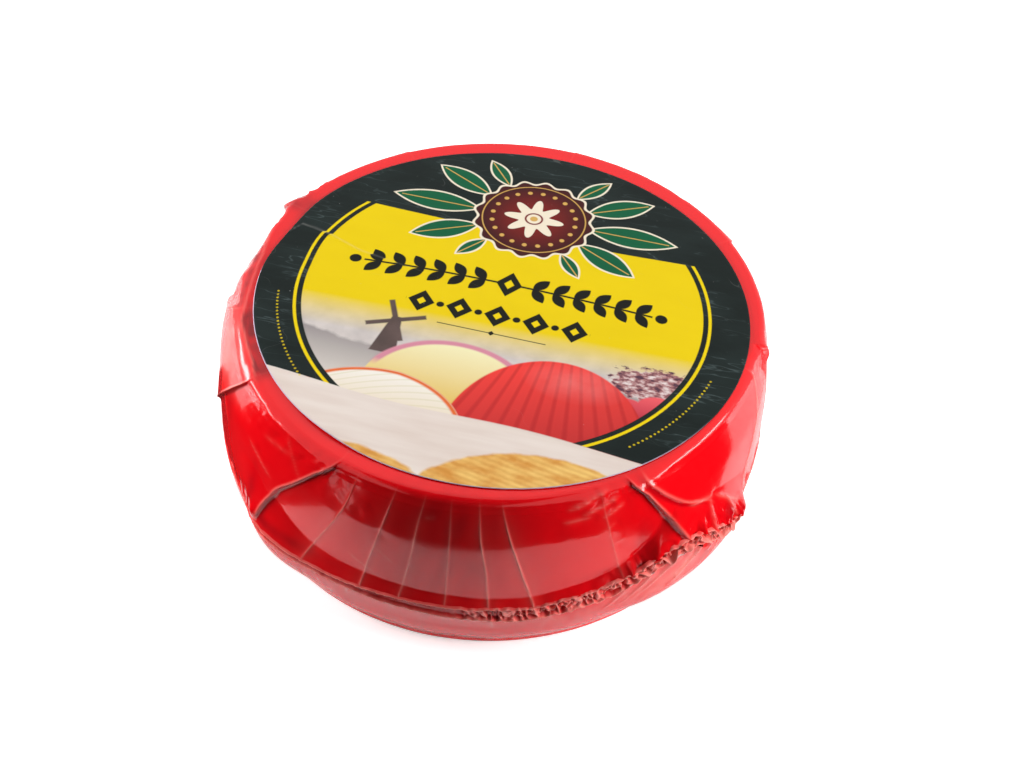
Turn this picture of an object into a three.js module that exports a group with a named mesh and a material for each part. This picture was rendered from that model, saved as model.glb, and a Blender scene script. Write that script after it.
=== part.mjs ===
// A round gouda, shrink-wrapped in red film, with a round paper label on its top face.
// Millimetres, +Z up. The origin is the middle of the flat base, and the label reads along +X,
// so -Y is the side that faces a reader. Azimuths are degrees from +X, counter-clockwise.

import * as THREE from 'three';

// The wheel of cheese.
const WHEEL_HEIGHT = 83;
const BELLY_RADIUS = 109.4;
const BELLY_HEIGHT = 33;
const OVAL_STRETCH = 1.8;
const OVAL_AZIMUTH = 69;
const TOP_DRAW_IN = 6.4;
const BASE_DRAW_IN = 12.2;
const WALL_ROUNDNESS = 2.4;
const TOP_EDGE_RADIUS = 2.4;
const BASE_EDGE_RADIUS = 5.5;

// The label.
const LABEL_RADIUS = 95;
const LABEL_THICKNESS = 0.4;
const LABEL_GAP = 0.3;
const LABEL_SHIFT = 1.3;
const LABEL_SIDES = 120;

// The seam, where the film's upper and lower sheets are sealed together: a thin crimped lip.
const SEAM_HEIGHT = 34;
const LIP_REACH = 1.1;
const LIP_THICKNESS = 1.6;
const LIP_ROOT_SPREAD = 2.6;
const LIP_DROOP = 0.45;
const LIP_WAVES = 42;
const LIP_WAVE_RISE = 0.5;
const FLARE_REACH = 0.8;
const FLARE_HEIGHT = 6;

// The ears: the bunched corners of the film, where the lip stands out furthest. Between the two at the
// front it stands out a little all the way.
const EARS = [
  { azimuth: -120.5, halfWidth: 10, reach: 3.7, bunch: 1.2, lift: 1 },
  { azimuth: -80, halfWidth: 36, reach: 1.2, bunch: 0.5, lift: 0.5 },
  { azimuth: -30, halfWidth: 14.5, reach: 4.6, bunch: 4, lift: 4 },
  { azimuth: 62, halfWidth: 13, reach: 4.2, bunch: 2, lift: 2 },
  { azimuth: 150, halfWidth: 13, reach: 4.2, bunch: 2.6, lift: 3 },
];

const EAR_SQUARENESS = 4;

// The big folds: each is a crest of film from the shoulder down to an ear. It falls off steeply on
// one side, and eases back to the wall on the other.
const STEEP_WIDTH = 3;
const SOFT_WIDTH = 10;
const FOLD_FADE_FROM = 0.8;
const FOLDS = [
  { from: [-157, 88], to: [-196, 40], bend: 0.8, rise: 1.6, softSide: 1 },
  { from: [-138, 86], to: [-161, 34], bend: 1.1, rise: 1.5, softSide: -1 },
  { from: [-106, 86], to: [-128, 33], bend: 0.65, rise: 2.2, softSide: -1 },
  { from: [-51, 86], to: [-32, 36], bend: 0.9, rise: 2.4, softSide: 1 },
  { from: [-4, 86], to: [-19, 36], bend: 1.2, rise: 0.8, softSide: -1 },
  { from: [36, 86], to: [55, 36], bend: 0.8, rise: 2.2, softSide: 1 },
  { from: [88, 86], to: [70, 34], bend: 0.8, rise: 2, softSide: -1 },
  { from: [124, 86], to: [143, 34], bend: 0.8, rise: 2, softSide: 1 },
  { from: [163, 90], to: [156, 36], bend: 1, rise: 2.8, softSide: -1 },
];

// The pleats: fine creases that fan out down the wall from the shoulder to the seam.
const PLEAT_RISE = 0.9;
const PLEAT_WIDTH = 1.9;
const PLEAT_SPREAD = 1.5;
const PLEAT_TOP = 81;
const PLEAT_FADE_IN = 0.15;
const PLEAT_PAST_SEAM = 0.35;
const PLEAT_FANS = [
  { middle: -85, pleats: [-19, -10.5, -5, 0, 5.5, 9.5] },
  { middle: 12, pleats: [-8, 0, 9] },
  { middle: 108, pleats: [-9, -2, 5, 11] },
];

// How finely the wheel's surface is divided.
const COLUMNS = 168;
const EDGE_STEPS = 3;
const LOWER_WALL_STEPS = 6;
const UPPER_WALL_STEPS = 10;

const FILM_COLOUR = 0xd8101c;
const LABEL_COLOUR = 0xe9c911;

const radians = THREE.MathUtils.degToRad;
const blend = THREE.MathUtils.lerp;
const ease = THREE.MathUtils.smoothstep;

// The shortest way round from one azimuth to another, from -180 to 180 degrees.
function turnFrom(azimuth, other) {
  return THREE.MathUtils.euclideanModulo(other - azimuth + 180, 360) - 180;
}

// 1 in the middle of a bell, and 0 far outside it. A squarer bell has a flatter top.
function bell(distance, width, squareness = 2) {
  return Math.exp(-(Math.abs(distance / width) ** squareness));
}

// The bare wall is barrel-shaped: widest at the belly, and drawn in towards the top and the base.
function wallRadius(height) {
  const above = height > BELLY_HEIGHT;
  const span = above ? WHEEL_HEIGHT - BELLY_HEIGHT : BELLY_HEIGHT;
  const drawIn = above ? TOP_DRAW_IN : BASE_DRAW_IN;
  const away = Math.abs(height - BELLY_HEIGHT) / span;
  return BELLY_RADIUS - drawIn * away ** WALL_ROUNDNESS;
}

// The film stands off the wall as it nears the seam.
function flare(height) {
  return FLARE_REACH * bell(height - SEAM_HEIGHT, FLARE_HEIGHT);
}

// What the ears add to the lip at an azimuth: their reach, bunch or lift.
function earTotal(azimuth, size) {
  return EARS.reduce((sum, ear) => {
    const share = bell(turnFrom(ear.azimuth, azimuth), ear.halfWidth, EAR_SQUARENESS);
    return sum + ear[size] * share;
  }, 0);
}

// How far one fold stands off the wall at a place on it.
function foldRise(fold, azimuth, height) {
  const [topAzimuth, topHeight] = fold.from;
  const [footAzimuth, footHeight] = fold.to;
  const down = (topHeight - height) / (topHeight - footHeight);
  if (down < 0 || down > 1) {
    return 0;
  }
  const crest = blend(topAzimuth, footAzimuth, down ** fold.bend);
  const slant = radians(footAzimuth - topAzimuth) * BELLY_RADIUS / (topHeight - footHeight);
  const across = radians(turnFrom(crest, azimuth)) * BELLY_RADIUS / Math.hypot(1, slant);
  const width = Math.sign(across) === fold.softSide ? SOFT_WIDTH : STEEP_WIDTH;
  return fold.rise * bell(across, width) * (1 - ease(down, FOLD_FADE_FROM, 1));
}

// How far one pleat stands off the wall. The pleats of a fan spread apart on their way down.
function pleatRise(middle, offset, azimuth, height) {
  const down = (PLEAT_TOP - height) / (PLEAT_TOP - SEAM_HEIGHT);
  const crest = middle + offset * blend(1, PLEAT_SPREAD, THREE.MathUtils.clamp(down, 0, 1));
  const across = radians(turnFrom(crest, azimuth)) * BELLY_RADIUS;
  const fade = ease(down, 0, PLEAT_FADE_IN) * (1 - ease(down, 1, 1 + PLEAT_PAST_SEAM));
  return PLEAT_RISE * bell(across, PLEAT_WIDTH) * fade;
}

// All that the film adds to the wall: the flare, the folds and the pleats.
function filmRise(azimuth, height) {
  const folds = FOLDS.reduce((sum, fold) => sum + foldRise(fold, azimuth, height), 0);
  const pleats = PLEAT_FANS.reduce((sum, fan) => sum
    + fan.pleats.reduce((part, offset) => part + pleatRise(fan.middle, offset, azimuth, height), 0), 0);
  return flare(height) + folds + pleats;
}

// The wheel's profile, from the middle of the base, out and up the wall, to the middle of the top.
// Each row has its radius and height, and how much it belongs to the wall, the lip and its two sides.
function wheelRows() {
  const rows = [{ radius: 0, height: 0, wall: 0, lip: 0, side: 0 }];
  const baseCentre = wallRadius(BASE_EDGE_RADIUS) - BASE_EDGE_RADIUS;
  for (let step = 0; step < EDGE_STEPS; step += 1) {
    const turn = Math.PI / 2 * step / EDGE_STEPS;
    const radius = baseCentre + BASE_EDGE_RADIUS * Math.sin(turn);
    const height = BASE_EDGE_RADIUS * (1 - Math.cos(turn));
    rows.push({ radius, height, wall: step / EDGE_STEPS, lip: 0, side: 0 });
  }
  const lipFoot = SEAM_HEIGHT - LIP_ROOT_SPREAD;
  for (let step = 0; step <= LOWER_WALL_STEPS; step += 1) {
    const height = blend(BASE_EDGE_RADIUS, lipFoot, step / LOWER_WALL_STEPS);
    rows.push({ radius: wallRadius(height), height, wall: 1, lip: 0, side: 0 });
  }
  for (const side of [-1, 1]) {
    rows.push({ radius: wallRadius(SEAM_HEIGHT), height: SEAM_HEIGHT, wall: 1, lip: 1, side });
  }
  const lipHead = SEAM_HEIGHT + LIP_ROOT_SPREAD;
  const shoulder = WHEEL_HEIGHT - TOP_EDGE_RADIUS;
  for (let step = 0; step <= UPPER_WALL_STEPS; step += 1) {
    const height = blend(lipHead, shoulder, step / UPPER_WALL_STEPS);
    rows.push({ radius: wallRadius(height), height, wall: 1, lip: 0, side: 0 });
  }
  const topCentre = wallRadius(shoulder) - TOP_EDGE_RADIUS;
  for (let step = 1; step <= EDGE_STEPS; step += 1) {
    const turn = Math.PI / 2 * step / EDGE_STEPS;
    const radius = topCentre + TOP_EDGE_RADIUS * Math.cos(turn);
    const height = shoulder + TOP_EDGE_RADIUS * Math.sin(turn);
    rows.push({ radius, height, wall: 1 - step / EDGE_STEPS, lip: 0, side: 0 });
  }
  rows.push({ radius: 0, height: WHEEL_HEIGHT, wall: 0, lip: 0, side: 0 });
  return rows;
}

// Moves one point of the plain turned wheel to its place on the folded film.
function dressPoint(row, azimuth) {
  const oval = OVAL_STRETCH * Math.cos(2 * radians(azimuth - OVAL_AZIMUTH)) * row.radius / BELLY_RADIUS;
  const wave = Math.sin(LIP_WAVES * radians(azimuth));
  const lipReach = row.lip * (LIP_REACH + earTotal(azimuth, 'reach') + LIP_WAVE_RISE * wave);
  const thickness = LIP_THICKNESS / 2 + earTotal(azimuth, 'bunch');
  const lipLift = row.lip * (earTotal(azimuth, 'lift') - LIP_DROOP * lipReach + LIP_WAVE_RISE * wave);
  const radius = row.radius + oval + row.wall * filmRise(azimuth, row.height) + lipReach;
  const height = row.height + row.side * thickness + lipLift;
  return { radius, height };
}

// The cheese and the film that is shrunk onto it: one closed solid.
function wrappedWheel() {
  const rows = wheelRows();
  const profile = rows.map((row) => new THREE.Vector2(row.radius, row.height));
  const geometry = new THREE.LatheGeometry(profile, COLUMNS);
  geometry.rotateX(Math.PI / 2);
  const points = geometry.attributes.position;
  for (let index = 0; index < points.count; index += 1) {
    const row = rows[index % rows.length];
    const column = Math.floor(index / rows.length) % COLUMNS;
    const azimuth = 360 * column / COLUMNS;
    const { radius, height } = dressPoint(row, azimuth);
    const angle = radians(azimuth);
    points.setXYZ(index, radius * Math.cos(angle), radius * Math.sin(angle), height);
  }
  geometry.computeVertexNormals();
  const film = new THREE.MeshStandardMaterial({ color: FILM_COLOUR, roughness: 0.2, metalness: 0 });
  const wheel = new THREE.Mesh(geometry, film);
  wheel.name = 'wrapped_wheel';
  return wheel;
}

// The label: a thin round sheet of paper, just clear of the wheel's flat top, a little off its middle.
function label() {
  const geometry = new THREE.CylinderGeometry(LABEL_RADIUS, LABEL_RADIUS, LABEL_THICKNESS, LABEL_SIDES);
  geometry.rotateX(Math.PI / 2);
  const paper = new THREE.MeshStandardMaterial({ color: LABEL_COLOUR, roughness: 0.35, metalness: 0 });
  const sheet = new THREE.Mesh(geometry, paper);
  sheet.name = 'label';
  sheet.position.set(LABEL_SHIFT, 0, WHEEL_HEIGHT + LABEL_GAP + LABEL_THICKNESS / 2);
  return sheet;
}

const gouda = new THREE.Group();
gouda.add(wrappedWheel(), label());

export default gouda;
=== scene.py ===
"""A round gouda, shrink-wrapped in glossy red film, with a printed paper label on its flat top.

The sizes below are millimetres, as a maker would write them, and MM turns them into metres. Azimuths are
degrees from +X, counter-clockwise. The label reads along +X, and -Y is the reader's side.
"""

import math

import bpy
import numpy as np
from mathutils import Matrix, Vector, noise


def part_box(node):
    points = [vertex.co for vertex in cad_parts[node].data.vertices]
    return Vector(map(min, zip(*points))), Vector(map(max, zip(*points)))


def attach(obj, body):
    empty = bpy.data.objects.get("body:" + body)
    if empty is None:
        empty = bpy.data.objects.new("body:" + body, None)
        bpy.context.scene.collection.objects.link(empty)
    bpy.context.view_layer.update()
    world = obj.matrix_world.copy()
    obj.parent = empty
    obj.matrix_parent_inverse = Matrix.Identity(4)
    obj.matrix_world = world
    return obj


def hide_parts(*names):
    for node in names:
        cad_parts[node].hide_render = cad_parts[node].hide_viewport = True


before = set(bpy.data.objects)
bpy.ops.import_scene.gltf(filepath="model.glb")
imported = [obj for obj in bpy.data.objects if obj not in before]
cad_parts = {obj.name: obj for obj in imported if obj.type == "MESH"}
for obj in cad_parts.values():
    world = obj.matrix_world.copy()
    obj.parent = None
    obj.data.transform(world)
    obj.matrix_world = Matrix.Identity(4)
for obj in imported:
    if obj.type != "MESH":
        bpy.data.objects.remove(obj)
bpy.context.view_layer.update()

MM = 0.001

# ---- sizes of the wheel, from the frame

WHEEL_LOW, WHEEL_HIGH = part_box("wrapped_wheel")
LABEL_LOW, LABEL_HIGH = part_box("label")
WHEEL_HEIGHT = WHEEL_HIGH.z / MM
LABEL_RADIUS = (LABEL_HIGH.x - LABEL_LOW.x) / 2 / MM
LABEL_SHIFT = (LABEL_HIGH.x + LABEL_LOW.x) / 2 / MM
LABEL_UNDERSIDE = LABEL_LOW.z / MM

BELLY_RADIUS = 109.4
BELLY_HEIGHT = 33
OVAL_STRETCH = 1.8
OVAL_AZIMUTH = 69
TOP_DRAW_IN = 6.4
BASE_DRAW_IN = 12.2
WALL_ROUNDNESS = 2.4
TOP_EDGE_RADIUS = 2.4
BASE_EDGE_RADIUS = 5.5

# The seam is a band of crimped film with a lip above and a lip below. Round the wheel its middle rises and
# falls, its gap opens and closes, and it stands off the bare wall, most at the four bunched corners, the
# ears. The film flares from the wall out to the lips: from flare_top above, and from flare_foot below.
# roundness is the power of the curve of the lower flare, under 1 where the film bulges.
SEAM_HEIGHT = 34
SEAM_SIZES = ["azimuth", "middle", "half_gap", "reach", "flare_top", "flare_foot", "roundness", "crumple"]
SEAM = [
    (-180, 34.0, 1.4, 0.1, 44, 20, 1.6, 0.1),
    (-165, 33.5, 1.4, 0.0, 44, 20, 1.6, 0.1),
    (-150, 33.5, 1.4, 0.0, 44, 18, 1.6, 0.1),
    (-138, 34.0, 1.4, 0.4, 52, 14, 1.2, 0.1),
    (-132, 35.0, 1.4, 1.6, 58, 12, 1.0, 0.2),
    (-128, 35.5, 1.3, 4.0, 58, 10, 0.8, 0.2),
    (-124, 35.5, 1.2, 5.4, 54, 10, 0.7, 0.15),
    (-118, 35.5, 1.0, 5.0, 48.5, 12, 0.9, 0.06),
    (-113, 35.2, 1.0, 3.7, 44.5, 16, 1.2, 0.04),
    (-109, 35.2, 1.0, 3.1, 43.6, 18, 1.4, 0.04),
    (-104, 35.2, 1.2, 2.7, 43.4, 20, 1.6, 0.04),
    (-97, 35.4, 1.9, 2.4, 42.8, 22, 1.6, 0.04),
    (-88, 35.2, 2.3, 2.3, 42.0, 22, 1.6, 0.04),
    (-78, 34.4, 2.9, 2.1, 41.2, 22, 1.6, 0.1),
    (-69, 34.4, 3.3, 2.1, 41.4, 20, 1.6, 0.15),
    (-64, 36.0, 3.5, 2.1, 43.5, 18, 1.5, 0.2),
    (-56, 38.2, 3.6, 2.5, 45.5, 16, 1.3, 0.35),
    (-50, 41.5, 3.3, 3.2, 49, 14, 0.9, 0.8),
    (-46, 45.0, 3.1, 3.9, 54, 12, 0.6, 1.0),
    (-42, 48.5, 3.0, 5.0, 62, 12, 0.5, 1.0),
    (-38, 50.0, 3.0, 6.0, 70, 12, 0.5, 1.0),
    (-34, 48.0, 3.0, 6.4, 62, 12, 0.5, 1.0),
    (-30, 44.5, 2.7, 6.6, 59, 12, 0.5, 1.0),
    (-26, 41.0, 2.4, 6.6, 57, 12, 0.6, 1.0),
    (-21, 37.5, 2.2, 6.0, 54, 14, 0.8, 0.9),
    (-16, 35.0, 1.6, 1.2, 50, 18, 1.2, 0.4),
    (-8, 34.0, 1.4, 0.5, 46, 20, 1.6, 0.1),
    (40, 34.0, 1.4, 0.6, 46, 20, 1.6, 0.1),
    (50, 36.5, 1.8, 3.2, 60, 14, 1.0, 0.6),
    (58, 41.5, 2.6, 5.2, 78, 12, 0.6, 1.0),
    (66, 42.0, 2.6, 5.2, 78, 12, 0.6, 1.0),
    (73, 37.0, 1.8, 3.2, 60, 14, 1.0, 0.6),
    (84, 34.0, 1.4, 0.6, 46, 20, 1.6, 0.1),
    (128, 34.0, 1.4, 0.6, 46, 20, 1.6, 0.1),
    (138, 36.5, 1.8, 3.2, 60, 14, 1.0, 0.6),
    (146, 42.0, 2.6, 5.2, 78, 12, 0.6, 1.0),
    (154, 42.0, 2.6, 5.2, 78, 12, 0.6, 1.0),
    (162, 37.0, 1.8, 3.2, 60, 14, 1.0, 0.6),
    (172, 34.0, 1.5, 0.6, 46, 20, 1.6, 0.1),
    (180, 34.0, 1.5, 0.5, 46, 20, 1.6, 0.1),
]

# The big folds: crests of film from the shoulder down to an ear. Each has its path as azimuths and heights from
# top to foot, its rise, and the side that eases back to the wall, 1 for the side of larger azimuths.
FOLDS = [
    (((-157, 88), (-166, 76), (-178, 62), (-196, 40)), 1.4, 1),
    (((-136.5, 86), (-138.2, 82.7), (-139.6, 79.6), (-142.2, 73.6), (-146.1, 65), (-153, 50), (-160, 36)),
     1.3, -1),
    (((-106.5, 86), (-108.2, 82.5), (-110.8, 79.6), (-113.8, 74.2), (-117.6, 66.5), (-121, 59.7), (-122.7, 53.4),
      (-124.1, 48.1), (-124.7, 44), (-125, 38)), 1.2, -1),
    (((-52, 86), (-50, 82.4), (-47.2, 79.4), (-44.2, 71.3), (-42.3, 66), (-40.3, 59.3), (-38.8, 54.6), (-37, 48)),
     1.8, 1),
    (((-47, 86), (-46.4, 81.6), (-43.2, 75.5), (-40.2, 70), (-36.4, 64), (-32, 60.5), (-29, 55)), 0.5, 1),
    (((-4, 86), (-7, 75), (-12, 60), (-19, 36)), 0.8, -1),
    (((36, 86), (42, 76), (48, 60), (55, 36)), 1.5, 1),
    (((88, 86), (82, 76), (77, 60), (70, 34)), 1.4, -1),
    (((124, 86), (131, 76), (137, 60), (143, 34)), 1.4, 1),
    (((163, 90), (161, 76), (159, 60), (156, 36)), 1.8, -1),
]
FOLD_STEEP = 0.6
FOLD_SOFT = 7.5
FOLD_LEAN = 0.6
LEAN_WIDTH = 2.0
FOLD_BEAD = 0.2
BEAD_WIDTH = 0.6
FOLDS_START = (83.5, 80)

# The pleats: fine raised creases that fan out down the wall, from top to foot.
PLEATS = [
    ((-103.9, 83), (-104.4, 78), (-105.0, 71), (-107.8, 59), (-111.1, 46.5), (-113.4, 36)),
    ((-95.8, 83), (-96.3, 78), (-97.6, 66.6), (-100.0, 47), (-100.9, 36)),
    ((-90.0, 83), (-90.8, 73), (-91.6, 56.6), (-93.4, 36)),
    ((-85.1, 83), (-84.7, 69), (-84.8, 36)),
    ((-79.8, 83), (-79.3, 72), (-77.7, 55), (-76.8, 36)),
    ((-75.6, 83), (-74.4, 74), (-72.7, 64), (-69.4, 43), (-68.2, 36)),
    ((-56.0, 83), (-55.2, 73), (-54.0, 62.7), (-51.5, 44), (-50.5, 36)),
    ((4, 83), (3, 70), (1, 50), (-1, 36)),
    ((12, 83), (12, 70), (13, 50), (14, 36)),
    ((21, 83), (22, 70), (25, 50), (28, 36)),
    ((99, 83), (98, 70), (96, 50), (95, 36)),
    ((106, 83), (106, 70), (105, 50), (105, 36)),
    ((113, 83), (114, 70), (117, 50), (118, 36)),
    ((119, 83), (121, 70), (125, 50), (128, 36)),
]
PLEAT_RISE = [0.22, 0.25, 0.24, 0.16, 0.27, 0.32, 0.1, 0.22, 0.2, 0.26, 0.22, 0.26, 0.22, 0.26]
PLEAT_HALF = 0.26
PLEATS_START = (83, 80)

# The small dents in the taut film, each as azimuth, height, half width and depth.
DENTS = [
    (-104.4, 79, 2.6, 0.24), (-105.6, 73.5, 2.0, 0.2), (-107.2, 68.5, 2.4, 0.2), (-102.5, 70, 1.8, 0.18),
    (-99.5, 73, 1.8, 0.16), (-97.2, 64, 2.2, 0.14), (-60.5, 75, 3.0, 0.24), (-56.5, 78, 2.2, 0.2),
    (-57.5, 72.5, 2.0, 0.2), (-53.2, 69.5, 1.6, 0.2), (-52.0, 59, 1.5, 0.16), (-65.5, 70, 2.6, 0.14),
    (-128, 66, 2.0, 0.25), (-133.5, 73, 1.7, 0.2), (-30, 70, 2.4, 0.2), (-12, 66, 2.5, 0.2),
    (2.5, 80.5, 4.0, -1.5), (161, 80, 4.5, -1.3), (168, 78, 5, 0.9), (-172, 79, 4, -0.9), (176, 79, 5, 0.7),
]

# Where the shoulder's film is crushed, as azimuth, half width in degrees and depth.
CRUSHED_SHOULDER = [
    (156, 6, 1.3), (166, 5, 0.5), (-172, 9, 0.45), (-112, 6, 0.3), (-128, 9, 0.3), (-55, 5, 0.25), (-38, 9, 0.3),
    (3, 5, 0.5), (60, 12, 0.3),
]

# The small creases in the upper film, each a line between two points of azimuth and height, with its rise.
SMALL_CREASES = [
    ((-132, 67), (-122.8, 61), 0.3), ((-128, 74), (-119, 76), 0.15), ((-122, 81), (-115, 70), 0.12),
    ((-63, 78), (-54, 82), 0.5), ((-60, 75.5), (-52, 79), 0.5), ((-56, 73), (-51, 76), 0.4),
    ((-64, 74), (-58, 74.5), 0.3),
    ((-58, 66), (-53, 70), 0.15), ((-54, 60), (-51, 62), 0.2), ((-90, 75), (-87.5, 76), 0.15),
    ((-36.6, 63.9), (-28.3, 57.7), 0.7), ((-28.3, 57.7), (-20.3, 45), 0.7), ((-30, 58), (-31.5, 46), 0.6),
    ((-25, 54), (-23, 42), 0.5), ((-98, 44), (-104, 50), 0.18), ((-100, 60), (-94.5, 52), 0.1),
    ((-150, 70), (-142, 55), 0.25), ((-168, 76), (-160, 60), 0.4), ((-176, 78), (-170, 62), 0.35),
    ((14, 76), (20, 66), 0.3), ((30, 60), (36, 44), 0.3), ((90, 78), (99, 72), 0.25), ((110, 60), (104, 46), 0.25),
    ((66, 62), (60, 48), 0.6), ((72, 58), (74, 44), 0.5), ((146, 62), (142, 48), 0.6), ((152, 60), (156, 46), 0.5),
]

# The short creases that run down from the seam over the lower film, from top to foot.
SHORT_CREASES = [
    ((-110.5, 33), (-109.8, 24)), ((-103.3, 34), (-104.5, 22)), ((-95.0, 34), (-94.2, 26)),
    ((-84.9, 33), (-85.2, 27)), ((-76.2, 32), (-75.6, 21)), ((-66, 32), (-63, 24)), ((-51, 36), (-56, 20)),
    ((-46, 40), (-52, 22)), ((-41, 44), (-49, 25)), ((-35, 44), (-42, 20)), ((-28, 40), (-33, 18)),
    ((62, 40), (58, 18)), ((68, 40), (72, 18)), ((146, 40), (142, 18)), ((152, 40), (157, 18)),
]
SHORT_CREASE_RISE = [0.25, 0.3, 0.2, 0.2, 0.4, 0.2, 0.5, 0.7, 0.9, 0.9, 0.6, 0.8, 0.8, 0.8, 0.8]

# The film's rounding at the top edge and how far the upper wall is drawn in, each by azimuth.
SHOULDER_RADII = [(-180, 4), (-165, 4), (-150, 6), (-122, 6.5), (-110, 3.5), (-101, 1.5), (-60, 1.5), (-52, 3.5),
                  (-44, 6), (-25, 6), (-12, 4), (15, 2.6), (166, 2.6), (180, 4)]
DRAW_INS = [(-180, 2.4), (-172, 2.2), (-163, 1.2), (-155, 1.0), (-145, 1.6), (-115, 2.2), (-100, 2.4), (-84, 3.0),
            (-68, 3.8), (-58, 4.0), (-50, 3.2), (-40, 2.2), (-15, 0.4), (0, 0), (158, 0), (163, 0.2), (170, 1.6),
            (180, 2.4)]

# The crease that runs round the left of the ring, as azimuths past 0 and radii. Inside it the film is painted
# deeper red as painted shade, and a painted highlight runs along it.
RING_CREASE = [(164, 103), (168, 101.4), (176, 97.2), (181, 95.9), (188, 95.5), (194, 95.9), (199, 96.8),
               (204, 98.3), (208, 97.7), (217, 97.8), (222, 99.7)]
RING_CREASE_STARTS = (163, 169)
RING_CREASE_ENDS = (225, 219)

# Patches of deeper red, partly film lying double and partly painted shade, as on the front wall: azimuth, height,
# half widths in degrees and millimetres, strength.
DOUBLED_AND_SHADE = [
    (-86, 62, 15, 24, 0.5), (-84, 76, 13, 5, 0.3), (-25, 47, 3.5, 4.5, 0.9), (-20.5, 42, 2, 3, 0.9),
    (-31, 54, 3, 3, 0.5),
    (-46.5, 56, 2.2, 9, 0.7), (-52, 46, 6, 3, 0.6), (-31.5, 34, 2.2, 5, 0.5), (-118, 40.5, 12, 2.0, 0.4),
    (-128.5, 50, 2.2, 8, 0.7), (-124, 40, 7, 2.5, 0.5), (-142, 66, 2.0, 7, 0.5), (-173, 77, 5, 3, 0.8),
    (160, 80, 4, 6, 0.9), (170, 76, 5, 5, 0.4), (62, 52, 7, 6, 0.5), (150, 52, 7, 6, 0.5),
]

# Painted reflection: soft pale patches where the film shows the pale floor: azimuth, height, half widths in
# degrees and millimetres, strength.
PALE_REFLECTION_PATCHES = [(-152, 76, 9, 7, 0.38), (-38, 36, 3, 8, 0.5), (-45, 30, 5, 8, 0.35), (-63, 27, 10, 6, 0.15)]

# The ears' lobes: azimuth, height, half widths in degrees and millimetres, and how far each stands out.
LOBES = [
    (-20.5, 42.5, 1.8, 3.0, 3.0), (-25, 47, 1.6, 2.6, 1.2), (-126.5, 41, 1.4, 3.0, 1.2), (57, 48, 2.4, 4, 1.6),
    (149, 49, 2.4, 4, 1.6),
]

# ---- small tools


def bell(distance, width, squareness=2):
    """1 in the middle of a bell, and 0 far outside it."""
    return np.exp(-np.abs(distance / width) ** squareness)


def crest(distance, width):
    """1 on a sharp crest, with sides that curve in towards it as taut film does."""
    return np.exp(-np.abs(distance) / width)


def ease(value, start, end):
    """Goes smoothly from 0 at start to 1 at end."""
    share = np.clip((value - start) / (end - start), 0, 1)
    return share * share * (3 - 2 * share)


def from_table(table, place):
    """The size at each place, from a table of places and sizes, even in between."""
    places, sizes = zip(*table)
    return np.interp(place, places, sizes)


def turn_from(azimuth, other):
    """The shortest way round from one azimuth to another, from -180 to 180."""
    return (other - azimuth + 180) % 360 - 180


def wall_radius(height):
    """The bare wall: widest at the belly, and drawn in towards the top and the base."""
    above = height > BELLY_HEIGHT
    span = np.where(above, WHEEL_HEIGHT - BELLY_HEIGHT, BELLY_HEIGHT)
    draw_in = np.where(above, TOP_DRAW_IN, BASE_DRAW_IN)
    return BELLY_RADIUS - draw_in * (np.abs(height - BELLY_HEIGHT) / span) ** WALL_ROUNDNESS


def seam_size(azimuth, size):
    """One of the seam's sizes at each azimuth, rounded off a little between the table's rows."""
    table = np.array(SEAM)
    column = table[:, SEAM_SIZES.index(size)]
    return sum(
        np.interp((azimuth + shift + 180) % 360 - 180, table[:, 0], column) for shift in (-2, 0, 2)
    ) / 3


def upper_lip(azimuth):
    return seam_size(azimuth, "middle") + seam_size(azimuth, "half_gap")


def lower_lip(azimuth):
    return seam_size(azimuth, "middle") - seam_size(azimuth, "half_gap")


def upper_flare(azimuth, height):
    """How far the film stands off the wall on its way down and out to the upper lip."""
    top = seam_size(azimuth, "flare_top")
    share = np.clip((top - height) / (top - upper_lip(azimuth)), 0, 1)
    return seam_size(azimuth, "reach") * share


def lower_flare(azimuth, height):
    """How far the film stands off the wall on its way up and out to the lower lip."""
    foot = seam_size(azimuth, "flare_foot")
    share = np.clip((height - foot) / (lower_lip(azimuth) - foot), 0, 1)
    return seam_size(azimuth, "reach") * share ** seam_size(azimuth, "roundness")


def path_azimuth(path, height):
    """The azimuth of a crease at each height, rounded off a little at the path's corners."""
    azimuths, heights = zip(*path[::-1])
    return sum(np.interp(height + shift, heights, azimuths) for shift in (-2.5, 0, 2.5)) / 3


def fold_foot(path, soft_side, height):
    """Where a fold rises from. Its crest leans over from there onto the fold's path."""
    return path_azimuth(path, height) + soft_side * math.degrees(FOLD_LEAN / BELLY_RADIUS)


def arc_length(crease_azimuth, azimuth):
    return np.radians(turn_from(crease_azimuth, azimuth)) * BELLY_RADIUS


def fold_shape(azimuth, height):
    """How far the big folds raise the film and lean it round the wheel, where a painted highlight runs along each
    crest on its soft side, and where painted shade lies on its steep side.
    """
    rise, lean, crests, hollows = (np.zeros_like(azimuth) for total in range(4))
    for path, size, soft_side in FOLDS:
        run = math.radians(path[-1][0] - path[0][0]) * BELLY_RADIUS
        slant = math.hypot(1, run / (path[0][1] - path[-1][1]))
        across = arc_length(fold_foot(path, soft_side, height), azimuth) / slant
        soft = np.sign(across) == soft_side
        foot = path[-1][1]
        fade = ease(height, *FOLDS_START) * ease(height, foot - 1, foot + 8)
        profile = np.where(soft, crest(across, FOLD_SOFT), crest(across, FOLD_STEEP))
        rise += (size * profile + FOLD_BEAD * bell(across, BEAD_WIDTH)) * fade
        lean -= soft_side * FOLD_LEAN * bell(across, LEAN_WIDTH) * fade
        # Painted highlight along the crest, and painted shade on the steep side next to it.
        crests += bell(across * soft_side - 0.3, 0.4) * fade
        hollows += bell(across * soft_side + 1.3, 1.0) * fade
    return rise, lean, crests, hollows


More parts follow.
